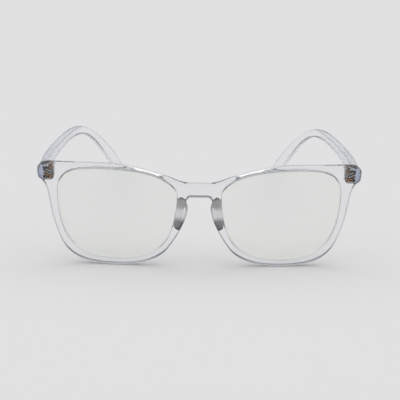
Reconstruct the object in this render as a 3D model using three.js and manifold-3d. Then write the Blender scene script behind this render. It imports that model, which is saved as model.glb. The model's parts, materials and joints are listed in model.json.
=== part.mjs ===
// Full-rim spectacles in clear plastic, with plain lenses, open and standing on a table.
// Millimetres, +X to the viewer's right, +Y from the front towards the ear tips, +Z up.
import * as THREE from 'three';
import { mergeVertices } from 'three/addons/utils/BufferGeometryUtils.js';
import Module from 'manifold-3d';

const wasm = await Module();
wasm.setup();

// ---------------------------------------------------------------- driving dimensions
const FRONT_THICKNESS = 3.8;
const FRONT_EDGE_ROUND = 0.9;
const FRONT_TILT = THREE.MathUtils.degToRad(5); // the top of the front leans forward
const FRONT_WRAP_RADIUS = 420; // face-form curve, seen from above
const RIM_CURVE_STEPS = 5;

const LENS_CENTRE = new THREE.Vector2(35.5, 24);
const LENS_THICKNESS = 2;
const LENS_BULGE = 1.7; // how far the middle of the lens stands in front of its edge
const LENS_EDGE_IN_RIM = 0.5; // how far the bevelled edge goes into the rim
const GROOVE_DEPTH = 0.85;
const LENS_SEAT_DEPTH = 1.9; // lens edge, measured back from the front face

const HINGE = new THREE.Vector3(64.2, 11.5, 40.2); // middle of the right hinge pin
const BARREL_RADIUS = 1.3;
const BARREL_BORE = 0.75;
const BARREL_PITCH = 1;
const BARREL_GAP = 0.08;
const BARRELS = 5; // front, temple, front, temple, front from the top down
const LEAF_HALF_HEIGHT = 2.5;
const LEAF_THICKNESS = 0.9;
const SEAT_BEFORE_PIN = 1.6; // the front leaf's seat lies this far in front of the pin
const ANCHOR_DEPTH = 5.6;
const ANCHOR_WIDTH = 3.8;
const ANCHOR_OUTWARD = 1.1; // from the pin to the middle of the anchor
const ANCHOR_BAR_HEIGHT = 0.8; // the bars along the top and bottom of the anchor
const RIB_PITCH = 1;
const RIB_THICKNESS = 0.5;
const RIB_LEAN = THREE.MathUtils.degToRad(-28); // the ribs fall towards the lens
const TEMPLE_PLATE = new THREE.Vector2(1.45, 1.1); // its near corner, outwards and back of the pin
const TEMPLE_LEAF_LENGTH = 8;
const SCREW_HEAD_RADIUS = 1.1;
const CUT_GAP = 0.3;

const END_PIECE_START = new THREE.Vector3(65.95, 3.1, 40.9); // middle of the end piece's front end
const END_PIECE_START_HEIGHT = 5.8;
const END_PIECE_END_X = 66.1;
const END_PIECE_WIDTH = 7.2;
const END_PIECE_ROUND = 1.1;
const SEAT_INNER = -4; // the leaf's seat, inwards and outwards of the pin
const SEAT_OUTER = 1.75;

const PAD_TOP = new THREE.Vector3(7.4, 0, 30.4);
const PAD_BOTTOM = new THREE.Vector3(9.6, 0, 15.6);

const TEMPLE_THICKNESS = 3.6;
const TEMPLE_EDGE_ROUND = 0.9;
const TEMPLE_ROOT_HEIGHT = 6.4;
const TEMPLE_WAIST_HEIGHT = 3.9;
const TEMPLE_TIP_HEIGHT = 6.6;
const TEMPLE_BEND_AT = 84; // along the temple, where it turns down behind the ear
const TEMPLE_TIP_ROUND = 3;
const BUTT_GAP = 0.12; // between the end piece and the open temple

// The front's outer edge, from the middle of the bridge's top to the middle of its underside.
// A knot is [x, height, heading in degrees, reach back, reach ahead].
const FRONT_EDGE = [
  [4.8, 37.6, 0, 0, 2.6],
  [15.5, 40.9, 16.5, 4, 10],
  [42.5, 45.4, 0, 11, 7],
  [64.5, 45.2, -1, 7, 2.8],
  [69.7, 41.6, -90, 2.4, 1.6],
  [68.4, 37.6, -129, 1.4, 1.2],
  [66, 34, -108, 1.6, 4],
  [62.8, 18.8, -107, 6, 12.5],
  [36.5, 0, 180, 19.5, 9],
  [13.2, 8.2, 125, 8, 5],
  [4.9, 26.2, 97, 7, 1.2],
  [5.5, 29.4, 93, 1.2, 0.9],
  [3.8, 31.2, 180, 0.9, 0],
];

// The right lens opening, clockwise from its top.
const OPENING_EDGE = [
  [42, 43.1, 0, 10, 7.5],
  [58.6, 39.3, -50, 4.2, 2.8],
  [61.05, 32.6, -90, 3.2, 5.5],
  [58.4, 15.3, -112, 5.8, 7.6],
  [35.8, 3.15, 180, 14, 8.5],
  [14.1, 11.7, 122.5, 8, 5.5],
  [9.55, 31, 90, 5.2, 3.5],
  [13.6, 37.5, 36, 2.8, 8],
];

// Centre line of the right temple, from the butt joint to the ear tip.
const TEMPLE_LINE = new THREE.CatmullRomCurve3([
  new THREE.Vector3(67.9, HINGE.y + BUTT_GAP, 40.2),
  new THREE.Vector3(68.3, 27, 41),
  new THREE.Vector3(67.4, 47, 42.2),
  new THREE.Vector3(65, 65, 44),
  new THREE.Vector3(61.3, 82, 45.4),
  new THREE.Vector3(57.4, 91, 44.7),
  new THREE.Vector3(52.6, 98, 40.3),
  new THREE.Vector3(45, 107, 28.6),
  new THREE.Vector3(40, 115.5, 16.4),
  new THREE.Vector3(36.6, 124.5, 3.6),
], false, 'centripetal');

// ---------------------------------------------------------------- materials
const plastic = new THREE.MeshStandardMaterial({ color: 0xd6d7dc, roughness: 0.08, metalness: 0 });
const lensClear = new THREE.MeshStandardMaterial({ color: 0xd9dcd8, roughness: 0.03, metalness: 0 });
const padPlastic = new THREE.MeshStandardMaterial({ color: 0xbfbfc2, roughness: 0.2, metalness: 0 });
const copper = new THREE.MeshStandardMaterial({ color: 0x9a7355, roughness: 0.35, metalness: 1 });
const steel = new THREE.MeshStandardMaterial({ color: 0xb9b9b6, roughness: 0.3, metalness: 1 });

// ---------------------------------------------------------------- curves and solids
// Cubic curves through knots that state their own heading and reach.
function knotCurves(knots, closed) {
  const handle = ([x, y, heading], reach) => {
    const angle = THREE.MathUtils.degToRad(heading);
    return new THREE.Vector2(x + reach * Math.cos(angle), y + reach * Math.sin(angle));
  };
  const pairs = knots.slice(1).map((knot, i) => [knots[i], knot]);
  if (closed) pairs.push([knots[knots.length - 1], knots[0]]);
  return pairs.map(([a, b]) => new THREE.CubicBezierCurve(
    new THREE.Vector2(a[0], a[1]), handle(a, a[4]), handle(b, -b[3]), new THREE.Vector2(b[0], b[1])));
}

function mirrored(curve) {
  const flip = (v) => new THREE.Vector2(-v.x, v.y);
  return new THREE.CubicBezierCurve(flip(curve.v3), flip(curve.v2), flip(curve.v1), flip(curve.v0));
}

function addCurves(path, curves) {
  path.moveTo(curves[0].v0.x, curves[0].v0.y);
  for (const { v0, v1, v2, v3 } of curves) {
    if (path.currentPoint.distanceTo(v0) > 0) path.lineTo(v0.x, v0.y);
    path.bezierCurveTo(v1.x, v1.y, v2.x, v2.y, v3.x, v3.y);
  }
  return path;
}

function asSolid(geometry) {
  const bare = geometry.clone();
  for (const name of ['normal', 'uv']) bare.deleteAttribute(name);
  const merged = mergeVertices(bare, 1e-5);
  const vertProperties = new Float32Array(merged.attributes.position.array);
  const triVerts = new Uint32Array(merged.index.array);
  return new wasm.Manifold(new wasm.Mesh({ numProp: 3, vertProperties, triVerts }));
}

function asGeometry(solid) {
  const { vertProperties, triVerts } = solid.getMesh();
  const geometry = new THREE.BufferGeometry();
  geometry.setAttribute('position', new THREE.BufferAttribute(vertProperties, 3));
  geometry.setIndex(new THREE.BufferAttribute(triVerts, 1));
  geometry.computeVertexNormals();
  return geometry;
}

function remap(geometry, place) {
  const position = geometry.attributes.position;
  const point = new THREE.Vector3();
  for (let i = 0; i < position.count; i += 1) {
    place(point.fromBufferAttribute(position, i));
    position.setXYZ(i, point.x, point.y, point.z);
  }
  return geometry;
}

function reverseFaces(geometry) {
  const index = geometry.index.array;
  for (let i = 0; i < index.length; i += 3) [index[i], index[i + 1]] = [index[i + 1], index[i]];
  return geometry;
}

function mirrorX(geometry) {
  return reverseFaces(remap(geometry.clone(), (p) => p.setX(-p.x)));
}

function box(xMin, xMax, yMin, yMax, zMin, zMax) {
  return new THREE.BoxGeometry(xMax - xMin, yMax - yMin, zMax - zMin)
    .translate((xMin + xMax) / 2, (yMin + yMax) / 2, (zMin + zMax) / 2);
}

// Point k of n round a rectangle with half sizes a and b and rounded corners.
function roundedSection(k, n, a, b, radius) {
  const perCorner = n / 4;
  const corner = Math.floor(k / perCorner);
  const angle = (corner + (k % perCorner) / (perCorner - 1)) * Math.PI / 2;
  const sideX = corner === 0 || corner === 3 ? 1 : -1;
  const sideY = corner < 2 ? 1 : -1;
  const r = Math.min(radius, a, b);
  return [sideX * (a - r) + r * Math.cos(angle), sideY * (b - r) + r * Math.sin(angle)];
}

// A closed loft: sectionAt(t) gives a centre, two directions, half sizes and a corner radius.
function loft(sectionAt, steps, around = 16) {
  const geometry = new THREE.CylinderGeometry(1, 1, 1, around, steps);
  remap(geometry, (p) => {
    const section = sectionAt(0.5 - p.y);
    const turn = Math.atan2(p.z, p.x) / (2 * Math.PI);
    const k = Math.round((turn < 0 ? turn + 1 : turn) * around) % around;
    const onAxis = Math.hypot(p.x, p.z) < 0.5;
    const [u, v] = onAxis ? [0, 0] : roundedSection(k, around, section.a, section.b, section.radius);
    p.copy(section.centre).addScaledVector(section.uDir, u).addScaledVector(section.vDir, v);
  });
  return asSolid(geometry).volume() < 0 ? reverseFaces(geometry) : geometry;
}

// ---------------------------------------------------------------- front
const front = new THREE.Group();
front.rotation.x = FRONT_TILT;
front.updateMatrixWorld(true);

// Extruded shapes run from the front face backwards: (x, height, depth) becomes (x, y, z).
function wrapFront(geometry) {
  for (const name of ['normal', 'uv']) geometry.deleteAttribute(name);
  return reverseFaces(remap(mergeVertices(geometry, 1e-4), (p) => {
    const { x, y: height, z: depth } = p;
    p.set(x, depth + x * x / (2 * FRONT_WRAP_RADIUS), height);
  }));
}

function openingPoints() {
  const curves = knotCurves(OPENING_EDGE, true);
  return curves.flatMap((curve) => curve.getPoints(RIM_CURVE_STEPS).slice(0, -1));
}

function frontPlate() {
  const half = knotCurves(FRONT_EDGE, false);
  const otherHalf = half.map(mirrored).reverse();
  const shape = addCurves(new THREE.Shape(), [...half, ...otherHalf]);
  const plate = new THREE.ExtrudeGeometry(shape, {
    depth: FRONT_THICKNESS - 2 * FRONT_EDGE_ROUND,
    bevelThickness: FRONT_EDGE_ROUND,
    bevelSize: FRONT_EDGE_ROUND,
    bevelOffset: -FRONT_EDGE_ROUND,
    bevelSegments: 2,
    curveSegments: RIM_CURVE_STEPS,
  });
  return wrapFront(plate.translate(0, 0, FRONT_EDGE_ROUND));
}

function openingCutter() {
  const depth = FRONT_THICKNESS + 4;
  const shape = new THREE.Shape().setFromPoints(openingPoints().reverse());
  const cutter = new THREE.ExtrudeGeometry(shape, { depth, bevelEnabled: false });
  return wrapFront(cutter.translate(0, 0, -2));
}

// A disc with a rim profile, stretched to the lens outline and set on the wrapped front.
function lensDisc(edgeReach, halfThickness, bevel) {
  const profile = [
    new THREE.Vector2(0, halfThickness),
    new THREE.Vector2(0.5, halfThickness),
    new THREE.Vector2(0.8, halfThickness),
    new THREE.Vector2(0.97, halfThickness),
    new THREE.Vector2(1, bevel),
    new THREE.Vector2(1, -bevel),
    new THREE.Vector2(0.97, -halfThickness),
    new THREE.Vector2(0.8, -halfThickness),
    new THREE.Vector2(0.5, -halfThickness),
    new THREE.Vector2(0, -halfThickness),
  ];
  const rim = openingPoints();
  const around = rim.length;
  const disc = new THREE.LatheGeometry(profile, around);
  for (const name of ['normal', 'uv']) disc.deleteAttribute(name);
  remap(disc, (p) => {
    const radius = Math.hypot(p.x, p.z);
    const turn = Math.atan2(p.z, p.x) / (2 * Math.PI);
    const point = rim[Math.round((turn + 1) * around) % around];
    const spoke = point.clone().sub(LENS_CENTRE);
    spoke.multiplyScalar(radius * (1 + edgeReach / spoke.length()));
    const x = LENS_CENTRE.x + spoke.x;
    const bulge = LENS_BULGE * (1 - radius * radius);
    const depth = LENS_SEAT_DEPTH - bulge + p.y + x * x / (2 * FRONT_WRAP_RADIUS);
    p.set(x, depth, LENS_CENTRE.y + spoke.y);
  });
  const merged = mergeVertices(disc, 1e-4);
  return asSolid(merged).volume() < 0 ? reverseFaces(merged) : merged;
}

// The end piece carries the hinge: it grows back from the front to meet the temple.
function endPiece() {
  const { lerp } = THREE.MathUtils;
  return loft((t) => ({
    centre: new THREE.Vector3(
      lerp(END_PIECE_START.x, END_PIECE_END_X, t),
      lerp(END_PIECE_START.y, HINGE.y, t),
      lerp(END_PIECE_START.z, HINGE.z, t)),
    uDir: new THREE.Vector3(1, 0, 0),
    vDir: new THREE.Vector3(0, 0, 1),
    a: END_PIECE_WIDTH / 2,
    b: lerp(END_PIECE_START_HEIGHT, TEMPLE_ROOT_HEIGHT, t) / 2,
    radius: END_PIECE_ROUND,
  }), 3, 16);
}

function hingeCutters() {
  const seatY = HINGE.y - SEAT_BEFORE_PIN;
  const step = box(HINGE.x + SEAT_INNER, HINGE.x + SEAT_OUTER, seatY, HINGE.y + 2, HINGE.z - 6, HINGE.z + 6);
  const reach = ANCHOR_WIDTH / 2 + CUT_GAP;
  const height = LEAF_HALF_HEIGHT + CUT_GAP;
  const middle = HINGE.x + ANCHOR_OUTWARD;
  const pocket = box(middle - reach, middle + reach, seatY - ANCHOR_DEPTH - LEAF_THICKNESS - CUT_GAP,
    seatY + CUT_GAP, HINGE.z - height, HINGE.z + height);
  return [step, pocket];
}

function frontFrame() {
  let body = asSolid(frontPlate());
  const toFront = front.matrixWorld.clone().invert();
  for (const side of [1, -1]) {
    const own = (geometry) => (side > 0 ? geometry : mirrorX(geometry)).applyMatrix4(toFront);
    body = body.add(asSolid(own(endPiece())));
    for (const cutter of hingeCutters()) body = body.subtract(asSolid(own(cutter)));
    for (const cutter of [openingCutter(), lensDisc(GROOVE_DEPTH, LENS_THICKNESS / 2 + 0.15, 0.35)]) {
      body = body.subtract(asSolid(side > 0 ? cutter : mirrorX(cutter)));
    }
  }
  return asGeometry(body);
}

// A saddle pad bonded behind the nose side of each rim.
function nosePad() {
  return loft((t) => {
    const swell = Math.sin(Math.PI * THREE.MathUtils.clamp(0.12 + 0.8 * t, 0, 1));
    const depth = 1.2 + 1.4 * swell;
    const centre = PAD_TOP.clone().lerp(PAD_BOTTOM, t);
    centre.y = FRONT_THICKNESS + CUT_GAP + depth + centre.x * centre.x / (2 * FRONT_WRAP_RADIUS);
    return {
      centre,
      uDir: new THREE.Vector3(0.94, -0.34, 0.2).normalize(),
      vDir: new THREE.Vector3(0.34, 0.94, 0).normalize(),
      a: 0.9 + 0.7 * swell,
      b: 0.75 * depth,
      radius: 0.9,
    };
  }, 8, 16);
}

// ---------------------------------------------------------------- hinge
// Hinge parts are drawn about the pin: x outwards, y backwards, z up.
function barrel(fromTop) {
  const half = BARREL_PITCH / 2 - BARREL_GAP / 2;
  const middle = (BARRELS - 1) / 2 * BARREL_PITCH - fromTop * BARREL_PITCH;
  const ring = [
    new THREE.Vector2(BARREL_BORE, -half),
    new THREE.Vector2(BARREL_RADIUS, -half),
    new THREE.Vector2(BARREL_RADIUS, half),
    new THREE.Vector2(BARREL_BORE, half),
    new THREE.Vector2(BARREL_BORE, -half),
  ];
  return {
    middle,
    half,
    ring: new THREE.LatheGeometry(ring, 20).rotateX(Math.PI / 2).translate(0, 0, middle),
  };
}

function withBarrels(plate, first, web) {
  let leaf = plate;
  for (let i = first; i < BARRELS; i += 2) {
    const { middle, half, ring } = barrel(i);
    leaf = leaf.add(asSolid(web(middle - half, middle + half)));
    const bore = new THREE.CylinderGeometry(BARREL_BORE, BARREL_BORE, 2 * half + 0.4, 20)
      .rotateX(Math.PI / 2).translate(0, 0, middle);
    leaf = leaf.subtract(asSolid(bore)).add(asSolid(ring));
  }
  return asGeometry(leaf);
}

// The front leaf: a plate on the end piece's seat with a ribbed anchor sunk into the plastic.
function frontLeaf() {
  const seat = -SEAT_BEFORE_PIN;
  const left = ANCHOR_OUTWARD - ANCHOR_WIDTH / 2;
  const right = ANCHOR_OUTWARD + ANCHOR_WIDTH / 2;
  const plateFront = seat - LEAF_THICKNESS;
  let leaf = asSolid(box(left, right, plateFront, seat, -LEAF_HALF_HEIGHT, LEAF_HALF_HEIGHT));
  const tip = plateFront - ANCHOR_DEPTH + CUT_GAP;
  for (const side of [-1, 1]) {
    const middle = side * (LEAF_HALF_HEIGHT - ANCHOR_BAR_HEIGHT / 2);
    leaf = leaf.add(asSolid(box(left, right, tip, plateFront + 0.1,
      middle - ANCHOR_BAR_HEIGHT / 2, middle + ANCHOR_BAR_HEIGHT / 2)));
  }
  for (const height of [-RIB_PITCH, 0, RIB_PITCH]) {
    const rib = new THREE.BoxGeometry(ANCHOR_WIDTH - 0.5, ANCHOR_DEPTH - 0.9, RIB_THICKNESS);
    rib.rotateY(RIB_LEAN).translate(ANCHOR_OUTWARD, (tip + 0.8 + plateFront) / 2, height);
    leaf = leaf.add(asSolid(rib));
  }
  return withBarrels(leaf, 0, (low, high) => box(-0.8, 0.8, seat - 0.1, -0.4, low, high));
}

// The temple leaf: a plate let into the temple's inner face.
function templeLeaf() {
  const { x: inner, y: start } = TEMPLE_PLATE;
  const halfHeight = LEAF_HALF_HEIGHT - CUT_GAP;
  const plate = asSolid(box(inner, inner + LEAF_THICKNESS, start, start + TEMPLE_LEAF_LENGTH,
    -halfHeight, halfHeight));
  return withBarrels(plate, 1, (low, high) => box(0.3, inner + 0.3, 0.35, 2.6, low, high));
}

function hingeScrew() {
  const top = BARRELS * BARREL_PITCH / 2;
  const shank = BARREL_BORE - 0.15;
  const profile = [
    new THREE.Vector2(0, -top - 0.1),
    new THREE.Vector2(shank, -top - 0.1),
    new THREE.Vector2(shank, top + 0.08),
    new THREE.Vector2(SCREW_HEAD_RADIUS, top + 0.08),
    new THREE.Vector2(SCREW_HEAD_RADIUS, top + 0.4),
    new THREE.Vector2(SCREW_HEAD_RADIUS - 0.3, top + 0.6),
    new THREE.Vector2(0, top + 0.6),
  ];
  const screw = asSolid(new THREE.LatheGeometry(profile, 20).rotateX(Math.PI / 2));
  return asGeometry(screw.subtract(asSolid(box(-2, 2, -0.15, 0.15, top + 0.3, top + 1))));
}

// ---------------------------------------------------------------- temple
function temple() {
  const length = TEMPLE_LINE.getLength();
  const { lerp, smoothstep } = THREE.MathUtils;
  const body = asSolid(loft((t) => {
    const along = t * length;
    const centre = TEMPLE_LINE.getPointAt(t);
    const tangent = TEMPLE_LINE.getTangentAt(t);
    if (along < 1) tangent.set(0, 1, 0);
    const across = new THREE.Vector3(tangent.y, -tangent.x, 0).normalize();
    const up = new THREE.Vector3().crossVectors(across, tangent);
    const narrowing = smoothstep(along, 0, TEMPLE_BEND_AT);
    const waist = lerp(TEMPLE_ROOT_HEIGHT, TEMPLE_WAIST_HEIGHT, narrowing);
    const flare = smoothstep(along, TEMPLE_BEND_AT, length - 12);
    const height = lerp(waist, TEMPLE_TIP_HEIGHT, flare);
    const toEnd = Math.max(0, TEMPLE_TIP_ROUND - (length - along)) / TEMPLE_TIP_ROUND;
    const shrink = Math.sqrt(Math.max(0.09, 1 - toEnd * toEnd));
    return {
      centre,
      uDir: across,
      vDir: up,
      a: TEMPLE_THICKNESS / 2 * shrink,
      b: height / 2 * shrink,
      radius: TEMPLE_EDGE_ROUND,
    };
  }, 44, 16));
  const plateX = HINGE.x + TEMPLE_PLATE.x;
  const plateEnd = HINGE.y + TEMPLE_PLATE.y + TEMPLE_LEAF_LENGTH;
  const pocket = box(plateX - CUT_GAP, plateX + LEAF_THICKNESS + CUT_GAP,
    HINGE.y - 1, plateEnd + CUT_GAP,
    HINGE.z - LEAF_HALF_HEIGHT, HINGE.z + LEAF_HALF_HEIGHT);
  return asGeometry(body.subtract(asSolid(pocket)));
}

// ---------------------------------------------------------------- assembly
const glasses = new THREE.Group();
glasses.add(front);

function addMesh(parent, name, geometry, material) {
  const mesh = new THREE.Mesh(geometry, material);
  mesh.name = name;
  parent.add(mesh);
}

addMesh(front, 'front_frame', frontFrame(), plastic);

const lens = lensDisc(LENS_EDGE_IN_RIM, LENS_THICKNESS / 2, 0.2);
const pad = nosePad();
const leafOnFront = frontLeaf();
const leafOnTemple = templeLeaf();
const screw = hingeScrew();
const arm = temple();

for (const side of [1, -1]) {
  const label = side > 0 ? 'right' : 'left';
  const own = (geometry) => (side > 0 ? geometry : mirrorX(geometry));
  addMesh(front, `lens_${label}`, own(lens), lensClear);
  addMesh(front, `nose_pad_${label}`, own(pad), padPlastic);
  const hinge = new THREE.Group();
  hinge.position.set(side * HINGE.x, HINGE.y, HINGE.z);
  addMesh(hinge, `hinge_front_leaf_${label}`, own(leafOnFront), copper);
  addMesh(hinge, `hinge_temple_leaf_${label}`, own(leafOnTemple), copper);
  addMesh(hinge, `hinge_screw_${label}`, own(screw), steel);
  glasses.add(hinge);
  addMesh(glasses, `temple_${label}`, own(arm), plastic);
}

// The origin is under the middle of the whole object, on the surface it stands on.
const extent = new THREE.Box3().setFromObject(glasses, true);
const middle = extent.getCenter(new THREE.Vector3());
glasses.position.set(-middle.x, -middle.y, -extent.min.z);
glasses.updateMatrixWorld(true);

export default glasses;
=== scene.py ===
"""Clear plastic blue light glasses, open on a pale floor.

Shapes are worked out in millimetres in the front's design frame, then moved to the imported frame
in metres. The front is one implicit solid, the temples, lenses and pads are lofts, and the hinge
leaves are eased bars and turned barrels.
"""

import json
import math

import bmesh
import bpy
import numpy as np
from mathutils import Matrix, Quaternion, Vector


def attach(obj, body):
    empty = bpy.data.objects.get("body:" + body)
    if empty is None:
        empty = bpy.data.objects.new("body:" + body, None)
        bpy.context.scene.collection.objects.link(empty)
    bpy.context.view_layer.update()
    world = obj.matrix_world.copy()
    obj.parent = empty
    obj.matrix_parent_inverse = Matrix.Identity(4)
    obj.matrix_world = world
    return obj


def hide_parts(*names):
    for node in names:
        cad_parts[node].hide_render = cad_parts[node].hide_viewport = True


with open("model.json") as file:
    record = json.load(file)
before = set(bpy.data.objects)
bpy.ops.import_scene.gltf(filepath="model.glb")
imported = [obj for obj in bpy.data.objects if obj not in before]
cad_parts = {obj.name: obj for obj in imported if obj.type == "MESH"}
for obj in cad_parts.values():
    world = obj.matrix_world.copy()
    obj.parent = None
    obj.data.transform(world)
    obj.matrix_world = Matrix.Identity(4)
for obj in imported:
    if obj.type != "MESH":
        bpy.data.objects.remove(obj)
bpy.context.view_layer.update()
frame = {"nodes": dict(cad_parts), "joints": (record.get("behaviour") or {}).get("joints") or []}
MM = 0.001
SIDES = {"right": 1, "left": -1}

# ------------------------------------------------------------------ driving sizes, millimetres
# The front is a flat plate, wrapped round the face and leaning forwards.
FRONT_THICKNESS = 3.8
FRONT_TILT = math.radians(5)
FRONT_WRAP_RADIUS = 420
OUTER_ROUND = 1.3
OPENING_ROUND = 0.4
GROOVE_DEPTH = 0.45
GROOVE_HALF_WIDTH = 0.5
GROOVE_BLEND = 0.12

# The lens sits in the groove, and its faces bulge forwards.
LENS_CENTRE = np.array([35.5, 24.0])
LENS_THICKNESS = 2.0
LENS_BULGE = 1.7
LENS_SEAT_DEPTH = 1.9
# From the flat face to the tip of the bevel: reach past the rim's edge, half thickness.
LENS_BEVEL = [(-0.5, LENS_THICKNESS / 2), (-0.25, 0.94), (-0.03, 0.4), (0.3, 0.04)]
LENS_INNER_SCALE = 0.04
LENS_OUTER_SCALE = 0.985

# The right hinge's pin, at the middle of its height.
HINGE = np.array([64.2, 11.5, 40.2])
BUTT_GAP = 0.12
BARRELS = 5
BARREL_PITCH = 1.0
BARREL_RADIUS = 1.3
BARREL_BORE = 0.75
BARREL_GAP = 0.08
BARREL_EASE = 0.12
LEAF_HALF_HEIGHT = 2.5
LEAF_THICKNESS = 0.9
SEAT_BEFORE_PIN = 1.6
SEAT_OUTWARD = 1.75
SEAT_BLEND = 0.25

# The end piece runs back from the plate to the hinge. It is narrower towards the nose than the
# CAD's block, so that the anchor inside it shows.
END_PIECE_WIDTH = 6.45
END_PIECE_START = np.array([66.325, 3.1, 40.9])
END_PIECE_START_HEIGHT = 5.8
END_PIECE_END_X = 66.475
END_PIECE_ROUND = 1.1
END_PIECE_BLEND = 0.7
BUTT_EASE = 0.3

# The anchor of the front leaf, sunk into the end piece. A rib is height, metal, thickness.
ANCHOR_DEPTH = 5.3
ANCHOR_WIDTH = 3.8
ANCHOR_OUTWARD = 1.1
ANCHOR_RAISE = 0.4
ANCHOR_FOOT = 0.45
ANCHOR_COPPER_SHARE = 0.3
TOP_TAB_DEPTH = 2.0
TAB_THICKNESS = 0.75
STEM_WIDTH = 0.7
STEM_BELOW_TOP = (1.3, 0.4)
SHELF_WIDTH_SHARE = 0.7
SHELF_ABOVE_FOOT = (0.7, 1.25)
IN_NICKEL, IN_DARK_STEEL, IN_COPPER = range(3)
RIBS = (
    (1.4, IN_NICKEL, 0.34),
    (0.9, IN_DARK_STEEL, 0.42),
    (0.3, IN_NICKEL, 0.42),
    (-0.25, IN_DARK_STEEL, 0.4),
    (-0.75, IN_COPPER, 0.4),
)
RIB_LEAN = math.radians(-24)

# The temple leaf lies along the temple's inner face, and starts behind the pin.
TEMPLE_LEAF_OUTWARD = 1.45
TEMPLE_LEAF_START = 1.1
TEMPLE_LEAF_LENGTH = 8
TEMPLE_LEAF_MARGIN = 0.3

# An arm joins each barrel to its plate. Its corners are outwards and backwards from the pin.
FRONT_ARM = ((-0.8, -SEAT_BEFORE_PIN - 0.1), (0.8, -0.4))
TEMPLE_ARM = ((0.3, 0.35), (TEMPLE_LEAF_OUTWARD + 0.3, 2.6))

TEMPLE_THICKNESS = 3.6
TEMPLE_EDGE_ROUND = 1.0
TEMPLE_ROOT_HEIGHT = 6.4
TEMPLE_WAIST_HEIGHT = 3.9
TEMPLE_TIP_HEIGHT = 6.6
TEMPLE_BEND_AT = 84
TEMPLE_FLARE_BEFORE_TIP = 12
TEMPLE_BUTT_ROUND = 0.35
TEMPLE_TIP_ROUND = 3.0
TEMPLE_TIP_TRIM = 1.0
TIP_LEAST_SCALE = 0.05
TIP_LEAST_THICKNESS = 0.35

# The pad runs from top to bottom beside the nose. It is deepest and widest near its middle.
PAD_TOP = np.array([7.4, 0, 30.4])
PAD_BOTTOM = np.array([9.6, 0, 15.6])
PAD_ACROSS = np.array([0.94, -0.34, 0.2])
PAD_BACKWARD = np.array([0.34, 0.94, 0.0])
PAD_CLEARANCE = 0.1
PAD_LEAST_DEPTH = 1.2
PAD_EXTRA_DEPTH = 1.4
PAD_LEAST_HALF_WIDTH = 0.9
PAD_EXTRA_HALF_WIDTH = 0.7
PAD_SWELL_START = 0.12
PAD_SWELL_SPAN = 0.8
PAD_END_SHARE = 0.2
PAD_LEAST_SCALE = 0.05

# The front's outer edge from the middle of the bridge's top to the middle of its underside.
# A knot is x, height, heading in degrees, reach back, reach ahead.
FRONT_EDGE = [
    (4.8, 37.6, 0, 0, 2.6),
    (15.5, 40.9, 16.5, 4, 10),
    (42.5, 45.4, 0, 11, 7),
    (64.5, 45.2, -1, 7, 2.8),
    (69.7, 41.6, -90, 2.4, 1.6),
    (68.4, 37.6, -129, 1.4, 1.2),
    (66, 34, -108, 1.6, 4),
    (62.8, 18.8, -107, 6, 12.5),
    (36.5, 0, 180, 19.5, 9),
    (13.2, 8.2, 125, 8, 5),
    (4.9, 26.2, 97, 7, 1.2),
    (5.5, 29.4, 93, 1.2, 0.9),
    (3.8, 31.2, 180, 0.9, 0),
]
OPENING_EDGE = [
    (42, 43.1, 0, 10, 7.5),
    (58.6, 39.3, -50, 4.2, 2.8),
    (61.05, 32.6, -90, 3.2, 5.5),
    (58.4, 15.3, -112, 5.8, 7.6),
    (35.8, 3.15, 180, 14, 8.5),
    (14.1, 11.7, 122.5, 8, 5.5),
    (9.55, 31, 90, 5.2, 3.5),
    (13.6, 37.5, 36, 2.8, 8),
]
# The middle of the right temple, from its butt joint to its tip.
TEMPLE_LINE = [
    (67.9, HINGE[1] + BUTT_GAP, 40.2),
    (68.3, 27, 41),
    (67.4, 47, 42.2),
    (65, 65, 44),
    (61.3, 82, 45.4),
    (57.4, 91, 44.7),
    (52.6, 98, 40.3),
    (45, 107, 28.6),
    (40, 115.5, 16.4),
    (36.6, 124.5, 3.6),
]

# ------------------------------------------------------------------ fineness of the meshes
OUTER_STEPS = 16
OPENING_STEPS = 24
GRID_PITCH = 0.36
GRID_LOW = np.array([-70.6, -0.7, -0.8])
GRID_HIGH = np.array([70.6, 12.6, 46.4])
DISTANCE_CHUNK = 20000
NEAR_EDGE = 0.3
SLOPE_REACH = 0.02
LENS_ROWS = 22
TEMPLE_ROWS = 220
TEMPLE_AROUND = 48
PAD_ROWS = 40
PAD_AROUND = 40
BARREL_AROUND = 40

# ------------------------------------------------------------------ camera and light
CAMERA_PLACE = np.array([-5.0, -500.0, 141.98])
CAMERA_PITCH_YAW_ROLL = (12.63, 0.61, 0.9)
CAMERA_LENS = 107.3

# The room is bright overhead and behind the glasses, and dark beside and behind the camera.
ROOM_LEFT = (0.22, 0.245, 0.30)
ROOM_RIGHT = (0.24, 0.24, 0.245)
ROOM_BEHIND_CAMERA = (0.07, 0.07, 0.07)
ROOM_WALL = (0.74, 0.74, 0.76)
ROOM_OVERHEAD = (0.93, 0.93, 0.95)
SUN_STRENGTH = 0.26
SUN_ANGLE = math.radians(90)
SUN_TRAVEL = (0.10, -0.35, -1)
FLOOR_COLOUR = (0.873, 0.867, 0.861)
FLOOR_REACH = 60.0

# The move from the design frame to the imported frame, in millimetres.
fold_right = next(joint for joint in frame["joints"] if joint["name"] == "fold_right")
SHIFT = np.array(fold_right["pos_m"]) / MM - HINGE


# ------------------------------------------------------------------ curves
def heading(degrees):
    return np.array([math.cos(math.radians(degrees)), math.sin(math.radians(degrees))])


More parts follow.
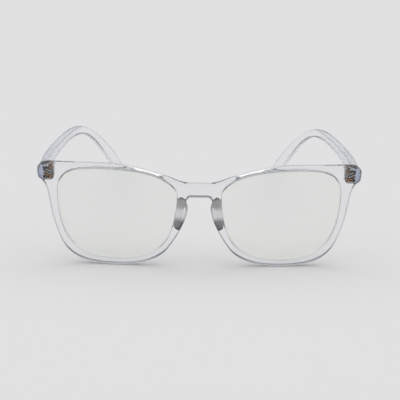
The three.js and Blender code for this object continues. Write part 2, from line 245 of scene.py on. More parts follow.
def bezier_chain(knots, steps, closed):
    """Points along cubic curves through knots that state their own heading and reach."""
    pairs = list(zip(knots[:-1], knots[1:]))
    if closed:
        pairs.append((knots[-1], knots[0]))
    t = np.linspace(0, 1, steps, endpoint=False)[:, None]
    points = []
    for a, b in pairs:
        start, end = np.array(a[:2], float), np.array(b[:2], float)
        leaving = start + heading(a[2]) * a[4]
        arriving = end - heading(b[2]) * b[3]
        points.append((1 - t) ** 3 * start + 3 * (1 - t) ** 2 * t * leaving
                      + 3 * (1 - t) * t ** 2 * arriving + t ** 3 * end)
    if not closed:
        points.append(end[None])
    return np.vstack(points)


def outer_edge():
    """The front's whole outer edge, clockwise."""
    half = bezier_chain(FRONT_EDGE, OUTER_STEPS, False)
    other = half[::-1] * [-1, 1]
    return np.vstack([half, other])


def opening_edge():
    """The right lens opening, clockwise."""
    return bezier_chain(OPENING_EDGE, OPENING_STEPS, True)


def edge_normals(ring):
    """Outward normals at the points of a clockwise ring."""
    along = np.roll(ring, -1, 0) - np.roll(ring, 1, 0)
    normal = np.stack([-along[:, 1], along[:, 0]], 1)
    return normal / np.linalg.norm(normal, axis=1)[:, None]


def nearest_on_ring(points, ring):
    """Each point's nearest span of the ring, how far along it, and the gap to it."""
    step = np.roll(ring, -1, 0) - ring
    from_start = points[:, None] - ring[None]
    t = np.clip((from_start * step[None]).sum(2) / (step ** 2).sum(1), 0, 1)
    gap = from_start - step[None] * t[..., None]
    span = (gap ** 2).sum(2).argmin(1)
    row = np.arange(len(points))
    return span, t[row, span][:, None], gap[row, span]


def edge_distance(points, ring):
    """Signed distance from points to a clockwise ring, negative inside, and its gradient."""
    normals = edge_normals(ring)
    next_normals = np.roll(normals, -1, 0)
    distance = np.empty(len(points))
    gradient = np.empty((len(points), 2))
    for i in range(0, len(points), DISTANCE_CHUNK):
        part = slice(i, i + DISTANCE_CHUNK)
        span, along, gap = nearest_on_ring(points[part], ring)
        normal = normals[span] * (1 - along) + next_normals[span] * along
        normal /= np.linalg.norm(normal, axis=1)[:, None]
        side = np.sign((gap * normal).sum(1))
        length = np.sqrt((gap ** 2).sum(1))
        distance[part] = length * side
        exact = gap * side[:, None] / np.maximum(length, 1e-9)[:, None]
        gradient[part] = np.where((length < NEAR_EDGE)[:, None], normal, exact)
    return distance, gradient


def smoothstep(value, low, high):
    t = np.clip((value - low) / (high - low), 0, 1)
    return t * t * (3 - 2 * t)


def catmull_rom(points, steps=60):
    """A centripetal Catmull-Rom spline through the points."""
    p = np.array(points, float)
    p = np.vstack([2 * p[0] - p[1], p, 2 * p[-1] - p[-2]])
    t = np.linspace(0, 1, steps, endpoint=False)[:, None]
    spans = []
    for a, b, c, d in zip(p[:-3], p[1:-2], p[2:-1], p[3:]):
        ab, bc, cd = (math.sqrt(np.linalg.norm(v - u)) for u, v in ((a, b), (b, c), (c, d)))
        leaving = ((b - a) / ab - (c - a) / (ab + bc) + (c - b) / bc) * bc
        arriving = ((c - b) / bc - (d - b) / (bc + cd) + (d - c) / cd) * bc
        spans.append((2 * t ** 3 - 3 * t ** 2 + 1) * b + (t ** 3 - 2 * t ** 2 + t) * leaving
                     + (3 * t ** 2 - 2 * t ** 3) * c + (t ** 3 - t ** 2) * arriving)
    return np.vstack(spans + [p[-2][None]])


def lengths_along(path):
    return np.concatenate([[0], np.cumsum(np.linalg.norm(np.diff(path, axis=0), axis=1))])


def columns_at(place, along, table):
    """A row of the table at each place, between the rows that stand at the lengths along."""
    return np.stack([np.interp(place, along, column) for column in table.T], -1)


def even_path(points, samples, passes):
    """An evenly stepped path through control points, softened by repeated averaging."""
    path = catmull_rom(points)
    for _ in range(2):
        along = lengths_along(path)
        path = columns_at(np.linspace(0, along[-1], samples), along, path)
        for _ in range(passes):
            path[1:-1] = (path[:-2] + 2 * path[1:-1] + path[2:]) / 4
    return path


# ------------------------------------------------------------------ the front as an implicit solid
def round_corner(a, b, radius):
    """Intersection of two half spaces with a rounded edge."""
    outside = np.hypot(np.maximum(a + radius, 0), np.maximum(b + radius, 0))
    return np.minimum(np.maximum(a, b) + radius, 0) + outside - radius


def soft_union(a, b, blend):
    h = np.maximum(blend - np.abs(a - b), 0) / blend
    return np.minimum(a, b) - h * h * blend / 4


def soft_cut(body, cutter, blend):
    return -soft_union(-body, cutter, blend)


def lean(x, depth, height):
    """Turns depth and height forwards by the front's lean."""
    cos, sin = math.cos(FRONT_TILT), math.sin(FRONT_TILT)
    return x, depth * cos - height * sin, depth * sin + height * cos


def upright(x, depth, height):
    """Front coordinates to design coordinates: wrap the front, then lean it forwards."""
    return lean(x, depth + x * x / (2 * FRONT_WRAP_RADIUS), height)


def plate_solid(depth, outer, opening):
    """Signed distance to the plate with its lens openings and the groove round each."""
    slab = np.abs(depth - FRONT_THICKNESS / 2) - FRONT_THICKNESS / 2
    plate = round_corner(outer, slab, OUTER_ROUND)
    plate = round_corner(plate, -opening, OPENING_ROUND)
    from_seat = np.abs(depth - LENS_SEAT_DEPTH)
    slope = GROOVE_HALF_WIDTH / GROOVE_DEPTH
    groove = (from_seat + slope * opening - GROOVE_HALF_WIDTH) / math.hypot(1, slope)
    return soft_cut(plate, groove, GROOVE_BLEND)


def end_piece_solid(x, y, z):
    """Signed distance to the block that tapers from the plate back to the butt joint."""
    start_x, start_y, start_z = END_PIECE_START
    along = np.clip((y - start_y) / (HINGE[1] - start_y), 0, 1)
    start_half = END_PIECE_START_HEIGHT / 2
    half_z = start_half + (TEMPLE_ROOT_HEIGHT / 2 - start_half) * along
    mid_x = start_x + (END_PIECE_END_X - start_x) * along
    mid_z = start_z + (HINGE[2] - start_z) * along
    across, up = np.abs(x - mid_x) - END_PIECE_WIDTH / 2, np.abs(z - mid_z) - half_z
    block = round_corner(across, up, END_PIECE_ROUND)
    block = round_corner(block, y - HINGE[1], BUTT_EASE)
    return np.maximum(block, start_y - y)


def front_solid(x, depth, height, outer, opening):
    """Signed distance to the front, given distances to its outer edge and lens openings."""
    plate = plate_solid(depth, outer, opening)
    x, y, z = upright(x, depth, height)
    x = np.abs(x)
    body = soft_union(plate, end_piece_solid(x, y, z), END_PIECE_BLEND)
    seat = np.maximum(x - (HINGE[0] + SEAT_OUTWARD), HINGE[1] - SEAT_BEFORE_PIN - y)
    return soft_cut(body, seat, SEAT_BLEND)


def edge_distances(points, rings):
    """Distances to the outer edge and to the nearer opening, with gradients, at (x, height)."""
    outer_ring, opening_ring = rings
    outer, outer_slope = edge_distance(points, outer_ring)
    mirror = np.where(points[:, :1] < 0, -1.0, 1.0)
    folded = points.copy()
    folded[:, :1] *= mirror
    opening, opening_slope = edge_distance(folded, opening_ring)
    opening_slope[:, :1] *= mirror
    return outer, outer_slope, opening, opening_slope


def front_slope(points, rings):
    """Value and gradient of the front's distance at points, from central differences."""
    outer, outer_slope, opening, opening_slope = edge_distances(points[:, [0, 2]], rings)

    def value_at(offset):
        x, depth, height = (points + offset).T
        in_plane = offset[[0, 2]]
        return front_solid(x, depth, height, outer + outer_slope @ in_plane,
                           opening + opening_slope @ in_plane)

    gradient = np.empty_like(points)
    for axis in range(3):
        offset = np.zeros(3)
        offset[axis] = SLOPE_REACH
        gradient[:, axis] = (value_at(offset) - value_at(-offset)) / (2 * SLOPE_REACH)
    return value_at(np.zeros(3)), gradient


def front_grid():
    """The grid's lowest corner and its lines along each axis, even about the middle in x."""
    low = GRID_LOW.copy()
    size = np.ceil((GRID_HIGH - GRID_LOW) / GRID_PITCH).astype(int) + 1
    size[0] += (size[0] + 1) % 2
    low[0] = -(size[0] - 1) / 2 * GRID_PITCH
    return low, [low[k] + GRID_PITCH * np.arange(size[k]) for k in range(3)]


def grid_values(lines, rings):
    """The front's signed distance at every point of the grid."""
    xs, depths, heights = lines
    flat = np.stack(np.meshgrid(xs, heights, indexing="ij"), -1).reshape(-1, 2)
    outer, _, opening, _ = edge_distances(flat, rings)
    shape = (len(xs), 1, len(heights))
    return front_solid(xs[:, None, None], depths[None, :, None], heights[None, None, :],
                       outer.reshape(shape), opening.reshape(shape))


def front_mesh():
    """Points on the front's surface, quads between them, and the surface's slope at each."""
    rings = outer_edge(), opening_edge()
    low, lines = front_grid()
    points, quads = surface_net(grid_values(lines, rings), low, GRID_PITCH)
    points = points.astype(float)
    # The net's points are pulled onto the exact surface.
    for _ in range(3):
        value, gradient = front_slope(points, rings)
        step = value / np.maximum((gradient ** 2).sum(1), 0.05)
        points -= gradient * np.clip(step, -GRID_PITCH, GRID_PITCH)[:, None]
    _, gradient = front_slope(points, rings)
    return points, quads, gradient


# ------------------------------------------------------------------ surface nets
def crossings_along(values, axis):
    """Grid edges that cross the surface: their cells, where they cross, and if it is outwards."""
    low = [slice(None)] * 3
    high = [slice(None)] * 3
    low[axis] = slice(0, -1)
    high[axis] = slice(1, None)
    a, b = values[tuple(low)], values[tuple(high)]
    cells = np.argwhere((a < 0) != (b < 0))
    a, b = a[tuple(cells.T)], b[tuple(cells.T)]
    where = cells.astype(np.float32)
    where[:, axis] += a / (a - b)
    return cells, where, a < 0


def moved(cells, axes, steps):
    """Cell indices moved by a step along each of the axes."""
    result = cells.copy()
    for axis, step in zip(axes, steps):
        result[:, axis] += step
    return result


def net_quads(number, axis, others, cells, outwards):
    """A quad round each crossing, through the points of the four cells that share its edge."""
    whole = np.ones(len(cells), bool)
    for other in others:
        whole &= (cells[:, other] > 0) & (cells[:, other] < number.shape[other])
    cells, outwards = cells[whole], outwards[whole]
    corners = ((0, 0), (-1, 0), (-1, -1), (0, -1))
    quads = np.stack([number[tuple(moved(cells, others, steps).T)] for steps in corners], 1)
    reverse = outwards if axis == 1 else ~outwards
    quads[reverse] = quads[reverse][:, ::-1]
    return quads


def surface_net(values, origin, pitch):
    """Points and quads of the surface on which a grid of signed distances changes sign."""
    shape = tuple(n - 1 for n in values.shape)
    total = np.zeros((*shape, 3), np.float32)
    count = np.zeros(shape, np.float32)
    crossings = []
    for axis in range(3):
        others = [k for k in range(3) if k != axis]
        cells, where, outwards = crossings_along(values, axis)
        crossings.append((axis, others, cells, outwards))
        for steps in ((0, 0), (0, -1), (-1, 0), (-1, -1)):
            beside = moved(cells, others, steps)
            inside = (beside >= 0).all(1) & (beside < shape).all(1)
            index = tuple(beside[inside].T)
            np.add.at(total, index, where[inside])
            np.add.at(count, index, 1)
    used = count > 0
    number = np.full(shape, -1)
    number[used] = np.arange(used.sum())
    points = total[used] / count[used][:, None] * pitch + origin
    return points, np.vstack([net_quads(number, *crossing) for crossing in crossings])


# ------------------------------------------------------------------ mesh helpers
def to_packed(points):
    """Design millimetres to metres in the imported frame."""
    return (np.asarray(points, float) + SHIFT) * MM


def to_packed_side(points, side):
    """The same for a shape made on the right, mirrored where side is -1."""
    return to_packed(points * np.array([side, 1, 1]))


def link_object(name, mesh):
    obj = bpy.data.objects.new(name, mesh)
    bpy.context.scene.collection.objects.link(obj)
    return obj


def face_out(mesh):
    bm = bmesh.new()
    bm.from_mesh(mesh)
    bmesh.ops.recalc_face_normals(bm, faces=bm.faces[:])
    if bm.calc_volume(signed=True) < 0:
        bmesh.ops.reverse_faces(bm, faces=bm.faces[:])
    bm.to_mesh(mesh)
    bm.free()


def smooth_solid(name, points, faces, plastic):
    """A smooth shaded closed piece of one material."""
    mesh = bpy.data.meshes.new(name)
    mesh.from_pydata([tuple(p) for p in points], [], [tuple(int(i) for i in f) for f in faces])
    mesh.validate()
    mesh.polygons.foreach_set("use_smooth", [True] * len(mesh.polygons))
    mesh.update()
    face_out(mesh)
    mesh.materials.append(plastic)
    return link_object(name, mesh)


def loft(rings):
    """Points and faces of a solid through equal rings, with a fan of triangles on each end."""
    rows, around = len(rings), len(rings[0])
    points = np.vstack([*rings, rings[0].mean(0), rings[-1].mean(0)])
    first, last = rows * around, rows * around + 1
    end = (rows - 1) * around
    faces = []
    for start in range(0, end, around):
        for k in range(around):
            a, b = start + k, start + (k + 1) % around
            faces.append((a, b, b + around, a + around))
    for k in range(around):
        beside = (k + 1) % around
        faces.append((first, beside, k))
        faces.append((last, end + k, end + beside))
    return points, faces


def rounded_section(around, half_u, half_v, radius):
    """Points round a rectangle with rounded corners."""
    corner = np.arange(around) // (around // 4)
    part = (np.arange(around) % (around // 4)) / (around // 4 - 1)
    angle = (corner + part) * math.pi / 2
    side_u = np.where((corner == 0) | (corner == 3), 1, -1)
    side_v = np.where(corner < 2, 1, -1)
    u = side_u * (half_u - radius) + radius * np.cos(angle)
    v = side_v * (half_v - radius) + radius * np.sin(angle)
    return u[:, None], v[:, None]


# ------------------------------------------------------------------ materials
def material(name):
    mat = bpy.data.materials.new(name)
    mat.use_nodes = True
    nodes, links = mat.node_tree.nodes, mat.node_tree.links
    return mat, nodes, links, nodes["Principled BSDF"]


def set_inputs(node, **values):
    """Sets a node's sockets by name, with underscores for the spaces."""
    for key, value in values.items():
        node.inputs[key.replace("_", " ")].default_value = value


def noise(nodes, links, scale, detail, roughness=0.5):
    where = nodes.new("ShaderNodeTexCoord")
    texture = nodes.new("ShaderNodeTexNoise")
    set_inputs(texture, Scale=scale, Detail=detail, Roughness=roughness)
    links.new(where.outputs["Object"], texture.inputs["Vector"])
    return texture.outputs["Fac"]


def ramp_between(nodes, links, source, low, high, start=0.3, end=0.7):
    """Maps the source's range from start to end onto values from low to high."""
    spread = nodes.new("ShaderNodeMapRange")
    set_inputs(spread, From_Min=start, From_Max=end, To_Min=low, To_Max=high)
    links.new(source, spread.inputs["Value"])
    return spread.outputs["Result"]


def combine(nodes, links, operation, *sources):
    """One maths step on one or two sources."""
    maths = nodes.new("ShaderNodeMath")
    maths.operation = operation
    for place, source in enumerate(sources):
        links.new(source, maths.inputs[place])
    return maths.outputs["Value"]


def colour_mix(nodes, links, factor, low, high):
    """A colour that runs from low to high, each a colour or a link, as the factor grows."""
    mix = nodes.new("ShaderNodeMix")
    mix.data_type = "RGBA"
    links.new(factor, mix.inputs["Factor"])
    for name, end in (("A", low), ("B", high)):
        if isinstance(end, tuple):
            mix.inputs[name].default_value = (*end, 1)
        else:
            links.new(end, mix.inputs[name])
    return mix.outputs["Result"]


def add_bump(nodes, links, shader, height, strength, distance):
    bump = nodes.new("ShaderNodeBump")
    set_inputs(bump, Strength=strength, Distance=distance)
    links.new(height, bump.inputs["Height"])
    links.new(bump.outputs["Normal"], shader.inputs["Normal"])


def let_lamps_through(nodes, links, shader):
    """Lamps reach what is behind a clear piece, so that it throws only a faint shadow."""
    clear = nodes.new("ShaderNodeBsdfTransparent")
    set_inputs(clear, Color=(0.99, 0.99, 0.99, 1))
    path = nodes.new("ShaderNodeLightPath")
    mix = nodes.new("ShaderNodeMixShader")
    links.new(path.outputs["Is Shadow Ray"], mix.inputs["Fac"])
    links.new(shader.outputs["BSDF"], mix.inputs[1])
    links.new(clear.outputs["BSDF"], mix.inputs[2])
    links.new(mix.outputs["Shader"], nodes["Material Output"].inputs["Surface"])


def absorb(nodes, links, colour, density):
    """Light fades with the length of its way through the piece."""
    volume = nodes.new("ShaderNodeVolumeAbsorption")
    set_inputs(volume, Color=(*colour, 1), Density=density)
    links.new(volume.outputs["Volume"], nodes["Material Output"].inputs["Volume"])


def paint_edge_shade(mat, edge):
    """Painted shade: the front's edge walls are greyer than its flat faces, but not where they
    face up to the overhead light.
    """
    nodes, links = mat.node_tree.nodes, mat.node_tree.links
    where = nodes.new("ShaderNodeTexCoord")
    split = nodes.new("ShaderNodeSeparateXYZ")
    links.new(where.outputs["Normal"], split.inputs["Vector"])
    flat = combine(nodes, links, "ABSOLUTE", split.outputs["Y"])
    on_wall = ramp_between(nodes, links, flat, 1, 0, start=0.55, end=0.95)
    not_up = ramp_between(nodes, links, split.outputs["Z"], 1, 0, start=0, end=0.5)
    # Painted shade falls on walls that don't face up.
    painted_shade_mask = combine(nodes, links, "MULTIPLY", on_wall, not_up)
    colour = colour_mix(nodes, links, painted_shade_mask, (1, 1, 1), edge)
    links.new(colour, nodes["Principled BSDF"].inputs["Base Color"])


def paint_pad_end_shade(mat, stops):
    """Painted shade: a pad is darker at its foot and head. A stop is its share of the height, and
    its grey.
    """
    nodes, links = mat.node_tree.nodes, mat.node_tree.links
    where = nodes.new("ShaderNodeTexCoord")
    split = nodes.new("ShaderNodeSeparateXYZ")
    ramp = nodes.new("ShaderNodeValToRGB")
    for place, _ in stops[1:-1]:
        ramp.color_ramp.elements.new(place)
    for stop, (place, grey) in zip(ramp.color_ramp.elements, stops):
        stop.position = place
        stop.color = (grey, grey, grey, 1)
    links.new(where.outputs["Generated"], split.inputs["Vector"])
    links.new(split.outputs["Z"], ramp.inputs["Fac"])
    links.new(ramp.outputs["Color"], nodes["Principled BSDF"].inputs["Base Color"])


def clear_plastic(name, tint, density, rough, ior, wave, skin=(1, 1, 1)):
    """Clear plastic: skin tints its surface, tint its depth, and wave is its moulded ripple."""
    mat, nodes, links, shader = material(name)
    set_inputs(shader, Base_Color=(*skin, 1), IOR=ior, Transmission_Weight=1.0)
    fine = noise(nodes, links, scale=900, detail=3)
    links.new(ramp_between(nodes, links, fine, *rough), shader.inputs["Roughness"])
    slow = noise(nodes, links, scale=140, detail=2)
    add_bump(nodes, links, shader, slow, strength=wave, distance=0.0002)
    let_lamps_through(nodes, links, shader)
    absorb(nodes, links, tint, density)
    return mat


def brushed_metal(name, colour, dark, rough):
    """Metal whose fine grain is darker and rougher in its hollows."""
    mat, nodes, links, shader = material(name)
    set_inputs(shader, Metallic=1.0)
    grain = noise(nodes, links, scale=1800, detail=5, roughness=0.6)
    factor = ramp_between(nodes, links, grain, 0, 1)
    links.new(colour_mix(nodes, links, factor, dark, colour), shader.inputs["Base Color"])
    smooth, coarse = rough
    links.new(ramp_between(nodes, links, grain, coarse, smooth), shader.inputs["Roughness"])
    add_bump(nodes, links, shader, grain, strength=0.25, distance=0.00003)
    return mat


FRONT_PLASTIC = clear_plastic("clear_front_plastic", tint=(0.46, 0.49, 0.60), density=26,
                              rough=(0.0, 0.02), ior=1.49, wave=0.02)
# Painted shade on the front's edge walls: a grey that stands in for the dark room seen through
# them.
paint_edge_shade(FRONT_PLASTIC, edge=(0.25, 0.25, 0.25))
TEMPLE_PLASTIC = clear_plastic("clear_temple_plastic", tint=(0.48, 0.60, 0.90), density=7,
                               rough=(0.17, 0.24), ior=1.36, wave=0.03,
                               skin=(0.99, 0.993, 1.0))
PAD_PLASTIC = clear_plastic("pad_plastic", tint=(0.45, 0.45, 0.46), density=90,
                            rough=(0.02, 0.08), ior=1.46, wave=0.05)
# Painted shade at the pad's foot and head, with a light middle.
paint_pad_end_shade(PAD_PLASTIC, stops=((0.0, 0.16), (0.26, 0.24), (0.40, 0.95), (0.58, 0.95),
                               (0.70, 0.45), (1.0, 0.40)))
LENS = clear_plastic("coated_lens", tint=(0.70, 0.88, 0.50), density=13,
                     rough=(0.30, 0.34), ior=1.38, wave=0.0, skin=(0.981, 0.991, 0.969))
COPPER = brushed_metal("copper_anchor", (0.62, 0.33, 0.16), (0.22, 0.10, 0.05), (0.22, 0.42))
NICKEL = brushed_metal("nickel_plate", (0.78, 0.77, 0.74), (0.52, 0.51, 0.49), (0.15, 0.30))
DARK_STEEL = brushed_metal("dark_steel_anchor", (0.10, 0.09, 0.085), (0.03, 0.028, 0.027),
                           (0.25, 0.40))


# ------------------------------------------------------------------ front
def make_front():
    points, quads, slope = front_mesh()
    placed = np.stack(upright(*points.T), 1)
    obj = smooth_solid("clear_front", to_packed(placed), quads, FRONT_PLASTIC)
    slope[:, 0] -= slope[:, 1] * points[:, 0] / FRONT_WRAP_RADIUS
    normal = np.stack(lean(*slope.T), 1)
    normal /= np.maximum(np.linalg.norm(normal, axis=1), 1e-9)[:, None]
    obj.data.normals_split_custom_set_from_vertices([tuple(n) for n in normal])
    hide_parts("front_frame")
    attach(obj, "front")


# ------------------------------------------------------------------ temples
def temple_height(along, length):
    """Tall at the hinge, slim at the bend over the ear, and tall again at the tip."""
    slimmer = (TEMPLE_WAIST_HEIGHT - TEMPLE_ROOT_HEIGHT) * smoothstep(along, 0, TEMPLE_BEND_AT)
    waist = TEMPLE_ROOT_HEIGHT + slimmer
    flare = smoothstep(along, TEMPLE_BEND_AT, length - TEMPLE_FLARE_BEFORE_TIP)
    return waist + (TEMPLE_TIP_HEIGHT - waist) * flare


def temple_path():
    """The temple's middle line, and its level across and upward directions along it."""
    path = even_path(TEMPLE_LINE, samples=260, passes=20)
    tangent = np.gradient(path, axis=0)
    # The temple leaves its butt joint square.
    tangent[:2] = (0, 1, 0)
    tangent /= np.linalg.norm(tangent, axis=1)[:, None]
    across = np.stack([tangent[:, 1], -tangent[:, 0], np.zeros(len(path))], 1)
    across /= np.linalg.norm(across, axis=1)[:, None]
    return path, across, np.cross(across, tangent)


def temple_places(length):
    """Where the rings stand along the temple, closer together where its two ends round over."""
    butt = TEMPLE_BUTT_ROUND * (1 - np.cos(np.linspace(0, math.pi / 2, 6)))
    middle = np.linspace(TEMPLE_BUTT_ROUND, length - TEMPLE_TIP_ROUND, TEMPLE_ROWS)
    tip = TEMPLE_TIP_ROUND * np.sin(np.linspace(0, math.pi / 2, 14))
    return np.concatenate([butt[:-1], middle, length - TEMPLE_TIP_ROUND + tip[1:]])


def temple_section(place, length, half_height):
    """The cross section at a place, smaller where the butt joint and the tip round over."""
    into_round = max(0, TEMPLE_BUTT_ROUND - place)
    inset = TEMPLE_BUTT_ROUND - math.sqrt(max(0, TEMPLE_BUTT_ROUND ** 2 - into_round ** 2))
    to_end = max(0, TEMPLE_TIP_ROUND - (length - place)) / TEMPLE_TIP_ROUND
    scale = math.sqrt(max(TIP_LEAST_SCALE ** 2, 1 - to_end ** 2))
    thinner = TIP_LEAST_THICKNESS + (1 - TIP_LEAST_THICKNESS) * scale
    half_u = min((TEMPLE_THICKNESS / 2 - inset) * thinner, half_height * scale)
    half_v = (half_height - inset) * scale
    radius = min(TEMPLE_EDGE_ROUND, half_u * 0.98, half_v * 0.98)
    return rounded_section(TEMPLE_AROUND, half_u, half_v, radius)


def temple_rings():
    path, across, up = temple_path()
    along = lengths_along(path)
    length = along[-1] - TEMPLE_TIP_TRIM
    height = temple_height(along, length)
    rings = []
    for place in temple_places(length):
        centre, u_way, v_way = (columns_at(place, along, table) for table in (path, across, up))
        u, v = temple_section(place, length, np.interp(place, along, height) / 2)
        rings.append(centre + u * u_way + v * v_way)
    return rings


def make_temples():
    points, faces = loft(temple_rings())
    for label, side in SIDES.items():
        placed = to_packed_side(points, side)
        obj = smooth_solid(f"clear_temple_{label}", placed, faces, TEMPLE_PLASTIC)
        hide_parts(f"temple_{label}")
        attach(obj, f"temple_arm_{label}")


# ------------------------------------------------------------------ lenses
def lens_layer(flat, thick, scale):
    """A ring of the lens, thick in front of its middle surface, which bulges forwards."""
    x, height = flat.T
    depth = LENS_SEAT_DEPTH - LENS_BULGE * (1 - scale ** 2) - thick
    return np.stack(upright(x, np.full(len(x), depth), height), 1)


def lens_rings():
    """From the middle of the front face, over the bevel, to the middle of the back face."""
    rim = opening_edge()
    normal = edge_normals(rim)
    half = LENS_THICKNESS / 2
    inner = rim + normal * LENS_BEVEL[0][0] - LENS_CENTRE
    scales = np.linspace(LENS_INNER_SCALE, LENS_OUTER_SCALE, LENS_ROWS)
    bevel = LENS_BEVEL + [(reach, -thick) for reach, thick in LENS_BEVEL[::-1]]
    front = [lens_layer(LENS_CENTRE + inner * scale, half, scale) for scale in scales]
    edge = [lens_layer(rim + normal * reach, thick, 1) for reach, thick in bevel]
    back = [lens_layer(LENS_CENTRE + inner * scale, -half, scale) for scale in scales[::-1]]
    return front + edge + back


def make_lenses():
    points, faces = loft(lens_rings())
    for label, side in SIDES.items():
        placed = to_packed_side(points, side)
        obj = smooth_solid(f"clear_lens_{label}", placed, faces, LENS)
        obj.data.set_sharp_from_angle(angle=math.radians(35))
        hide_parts(f"lens_{label}")
        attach(obj, "front")


# ------------------------------------------------------------------ nose pads
def pad_ring(t):
    """The pad's cross section at a share t of the way from its top to its bottom."""
    swell = math.sin(math.pi * (PAD_SWELL_START + PAD_SWELL_SPAN * t))
    depth = PAD_LEAST_DEPTH + PAD_EXTRA_DEPTH * swell
    beyond = max(0, abs(2 * t - 1) - (1 - PAD_END_SHARE)) / PAD_END_SHARE
    scale = max(PAD_LEAST_SCALE, math.sqrt(max(0, 1 - beyond ** 2)))
    half_u = (PAD_LEAST_HALF_WIDTH + PAD_EXTRA_HALF_WIDTH * swell) * scale
    half_v = 0.75 * depth * math.sqrt(scale)
    u, v = rounded_section(PAD_AROUND, half_u, half_v, 0.8 * min(half_u, half_v))
    centre = PAD_TOP + (PAD_BOTTOM - PAD_TOP) * t
    wrap = centre[0] ** 2 / (2 * FRONT_WRAP_RADIUS)
    centre[1] = FRONT_THICKNESS + PAD_CLEARANCE + depth + wrap
    across = PAD_ACROSS / np.linalg.norm(PAD_ACROSS)
    ring = centre + u * across + v * PAD_BACKWARD
    return np.stack(lean(*ring.T), 1)


def make_pads():
    points, faces = loft([pad_ring(t) for t in np.linspace(0, 1, PAD_ROWS)])
    for label, side in SIDES.items():
        placed = to_packed_side(points, side)
        obj = smooth_solid(f"clear_pad_{label}", placed, faces, PAD_PLASTIC)
        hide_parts(f"nose_pad_{label}")
        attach(obj, "front")


# ------------------------------------------------------------------ hinges
# Hinge shapes are made about the middle of the right pin: x outwards, y backwards, z up.
def bar(bm, low, high, metal, turn=0, edge=0.1):
    """A block between two corners, turned about its own middle, with eased edges."""
    low, high = Vector(low), Vector(high)
    cube = bmesh.ops.create_cube(bm, size=1)["verts"]
    bmesh.ops.scale(bm, vec=high - low, verts=cube)
    edges = list(dict.fromkeys(e for v in cube for e in v.link_edges))
    eased = bmesh.ops.bevel(bm, geom=edges, offset=edge, segments=3, affect="EDGES", profile=0.5)
    verts = dict.fromkeys(v for f in eased["faces"] for v in f.verts)
    whole = list(dict.fromkeys(v for seed in verts for f in seed.link_faces for v in f.verts))
    bmesh.ops.rotate(bm, cent=(0, 0, 0), matrix=Matrix.Rotation(turn, 3, "Y"), verts=whole)
    bmesh.ops.translate(bm, vec=(low + high) / 2, verts=whole)
    for vert in whole:
        for face in vert.link_faces:
            face.material_index = metal


def turned(bm, profile, metal):
    """A ring turned about the pin from a closed outline of radius and height."""
    rings = []
    for k in range(BARREL_AROUND):
        angle = 2 * math.pi * k / BARREL_AROUND
        cos, sin = math.cos(angle), math.sin(angle)
        rings.append([bm.verts.new((r * cos, r * sin, z)) for r, z in profile])
    for k in range(BARREL_AROUND):
        a, b = rings[k], rings[(k + 1) % BARREL_AROUND]
        for i in range(len(profile)):
            j = (i + 1) % len(profile)
            face = bm.faces.new((a[i], b[i], b[j], a[j]))
            face.material_index = metal


def barrel_outline(low, high):
    return [(BARREL_BORE, low), (BARREL_RADIUS - BARREL_EASE, low),
            (BARREL_RADIUS, low + BARREL_EASE), (BARREL_RADIUS, high - BARREL_EASE),
            (BARREL_RADIUS - BARREL_EASE, high), (BARREL_BORE, high)]


def add_barrels(bm, first, arm):
    """Every second barrel of the hinge, each with its arm."""
    near, far = arm
    for i in range(first, BARRELS, 2):
        low = (i - BARRELS / 2) * BARREL_PITCH + BARREL_GAP / 2
        high = low + BARREL_PITCH - BARREL_GAP
        turned(bm, barrel_outline(low, high), IN_NICKEL)
        bar(bm, (*near, low), (*far, high), IN_NICKEL, edge=0.05)


def add_anchor(bm, inner, outer, plate_front):
    """A tab above and one below, part dark and part copper, a stem, leaning ribs and a shelf."""
    tip = plate_front - ANCHOR_DEPTH
    back = plate_front + 0.05
    split = inner + ANCHOR_COPPER_SHARE * ANCHOR_WIDTH
    top = LEAF_HALF_HEIGHT + ANCHOR_RAISE
    foot = ANCHOR_FOOT - LEAF_HALF_HEIGHT
    for low, end in ((top - TAB_THICKNESS, tip + TOP_TAB_DEPTH), (foot, back)):
        high = low + TAB_THICKNESS
        bar(bm, (split, tip, low), (outer, end, high), IN_DARK_STEEL)
        bar(bm, (inner, tip, low), (split + 0.1, end, high), IN_COPPER, edge=0.2)
    low, high = (top - below for below in STEM_BELOW_TOP)
    bar(bm, (outer - STEM_WIDTH, tip + 0.2, low), (outer, back, high), IN_DARK_STEEL)
    for height, metal, thick in RIBS:
        low, high = height - thick / 2, height + thick / 2
        bar(bm, (inner + 0.25, tip + 0.5, low), (outer - 0.35, back, high), metal, turn=RIB_LEAN)
    low, high = (foot + above for above in SHELF_ABOVE_FOOT)
    shelf_end = inner + SHELF_WIDTH_SHARE * ANCHOR_WIDTH
    bar(bm, (inner, tip + 0.4, low), (shelf_end, back, high), IN_COPPER, edge=0.15)


def front_leaf(bm):
    seat = -SEAT_BEFORE_PIN
    plate_front = seat - LEAF_THICKNESS
    inner, outer = ANCHOR_OUTWARD - ANCHOR_WIDTH / 2, ANCHOR_OUTWARD + ANCHOR_WIDTH / 2
    tall = LEAF_HALF_HEIGHT
    bar(bm, (inner, plate_front, -tall), (outer, seat, tall), IN_NICKEL)
    add_anchor(bm, inner, outer, plate_front)
    add_barrels(bm, 0, FRONT_ARM)


def temple_leaf(bm):
    inner, start = TEMPLE_LEAF_OUTWARD, TEMPLE_LEAF_START
    tall = LEAF_HALF_HEIGHT - TEMPLE_LEAF_MARGIN
    end = start + TEMPLE_LEAF_LENGTH
    bar(bm, (inner, start, -tall), (inner + LEAF_THICKNESS, end, tall), IN_NICKEL)
    add_barrels(bm, 1, TEMPLE_ARM)


def hinge_piece(name, build, side, metals):
    bm = bmesh.new()
    build(bm)
    for vert in bm.verts:
        vert.co = Vector(to_packed_side(np.array(vert.co) + HINGE, side))
    bmesh.ops.recalc_face_normals(bm, faces=bm.faces[:])
    mesh = bpy.data.meshes.new(name)
    bm.to_mesh(mesh)
    bm.free()
    mesh.polygons.foreach_set("use_smooth", [True] * len(mesh.polygons))
    mesh.set_sharp_from_angle(angle=math.radians(40))
    for metal in metals:
        mesh.materials.append(metal)
    return link_object(name, mesh)


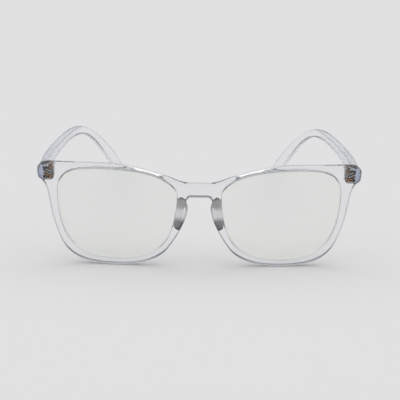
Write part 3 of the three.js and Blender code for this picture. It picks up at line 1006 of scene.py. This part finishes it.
def make_hinges():
    metals = (NICKEL, DARK_STEEL, COPPER)
    for label, side in SIDES.items():
        leaf = hinge_piece(f"front_leaf_{label}", front_leaf, side, metals)
        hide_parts(f"hinge_front_leaf_{label}")
        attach(leaf, "front")
        leaf = hinge_piece(f"temple_leaf_{label}", temple_leaf, side, metals[:1])
        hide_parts(f"hinge_temple_leaf_{label}")
        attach(leaf, f"temple_arm_{label}")
        screw = frame["nodes"][f"hinge_screw_{label}"]
        screw.data.materials.clear()
        screw.data.materials.append(NICKEL)


# ------------------------------------------------------------------ stage, light and camera
def make_stage():
    mesh = bpy.data.meshes.new("floor")
    corners = ((-1, -1), (1, -1), (1, 1), (-1, 1))
    mesh.from_pydata([(x * FLOOR_REACH, y * FLOOR_REACH, 0) for x, y in corners],
                     [], [(0, 1, 2, 3)])
    floor = link_object("floor", mesh)
    mat, _, _, shader = material("pale_floor")
    set_inputs(shader, Base_Color=(*FLOOR_COLOUR, 1), Roughness=1.0, Specular_IOR_Level=0.0)
    mesh.materials.append(mat)


def room_blend(nodes, links, value, span, low, high):
    """A colour that runs smoothly from low to high as the value crosses the span."""
    position = nodes.new("ShaderNodeMapRange")
    position.interpolation_type = "SMOOTHSTEP"
    set_inputs(position, From_Min=span[0], From_Max=span[1])
    links.new(value, position.inputs["Value"])
    return colour_mix(nodes, links, position.outputs["Result"], low, high)


def make_room():
    """A pale room that is darker behind the camera. The camera itself sees an even wall."""
    world = bpy.data.worlds.new("soft_room")
    bpy.context.scene.world = world
    world.use_nodes = True
    nodes, links = world.node_tree.nodes, world.node_tree.links
    where = nodes.new("ShaderNodeTexCoord")
    split = nodes.new("ShaderNodeSeparateXYZ")
    links.new(where.outputs["Generated"], split.inputs["Vector"])
    x, y, z = (split.outputs[axis] for axis in "XYZ")
    sides = room_blend(nodes, links, x, (-0.6, 0.6), ROOM_LEFT, ROOM_RIGHT)
    around = room_blend(nodes, links, y, (-0.8, 0.2), ROOM_BEHIND_CAMERA, sides)
    whole = room_blend(nodes, links, z, (0.2, 0.65), around, ROOM_OVERHEAD)
    path = nodes.new("ShaderNodeLightPath")
    seen = colour_mix(nodes, links, path.outputs["Is Camera Ray"], whole, ROOM_WALL)
    links.new(seen, nodes["Background"].inputs["Color"])


def make_sun():
    """A very soft sun from above and a little behind the glasses."""
    data = bpy.data.lights.new("soft_sun", "SUN")
    data.angle = SUN_ANGLE
    data.energy = SUN_STRENGTH
    sun = link_object("soft_sun", data)
    sun.rotation_euler = Vector(SUN_TRAVEL).to_track_quat("-Z", "Y").to_euler()


def make_camera():
    """About half a metre in front of the bridge, looking down by 12.6 degrees."""
    data = bpy.data.cameras.new("camera")
    data.sensor_width = 36
    data.lens = CAMERA_LENS
    camera = link_object("camera", data)
    camera.location = to_packed(CAMERA_PLACE)
    pitch, yaw, roll = (math.radians(angle) for angle in CAMERA_PITCH_YAW_ROLL)
    level = math.cos(pitch)
    forward = Vector((math.sin(yaw) * level, math.cos(yaw) * level, -math.sin(pitch)))
    camera.rotation_mode = "QUATERNION"
    camera.rotation_quaternion = forward.to_track_quat("-Z", "Y") @ Quaternion((0, 0, 1), roll)
    bpy.context.scene.camera = camera


def make_view():
    """Enough bounces to see through the stacked clear pieces, and a plain view transform."""
    scene = bpy.context.scene
    scene.view_settings.view_transform = "Standard"
    scene.cycles.max_bounces = 32
    scene.cycles.transmission_bounces = 32
    scene.cycles.glossy_bounces = 16
    scene.cycles.transparent_max_bounces = 32
    scene.cycles.caustics_reflective = False
    scene.cycles.caustics_refractive = True
    scene.cycles.use_denoising = True


make_view()
make_camera()
make_stage()
make_room()
make_sun()
make_front()
make_lenses()
make_pads()
make_temples()
make_hinges()
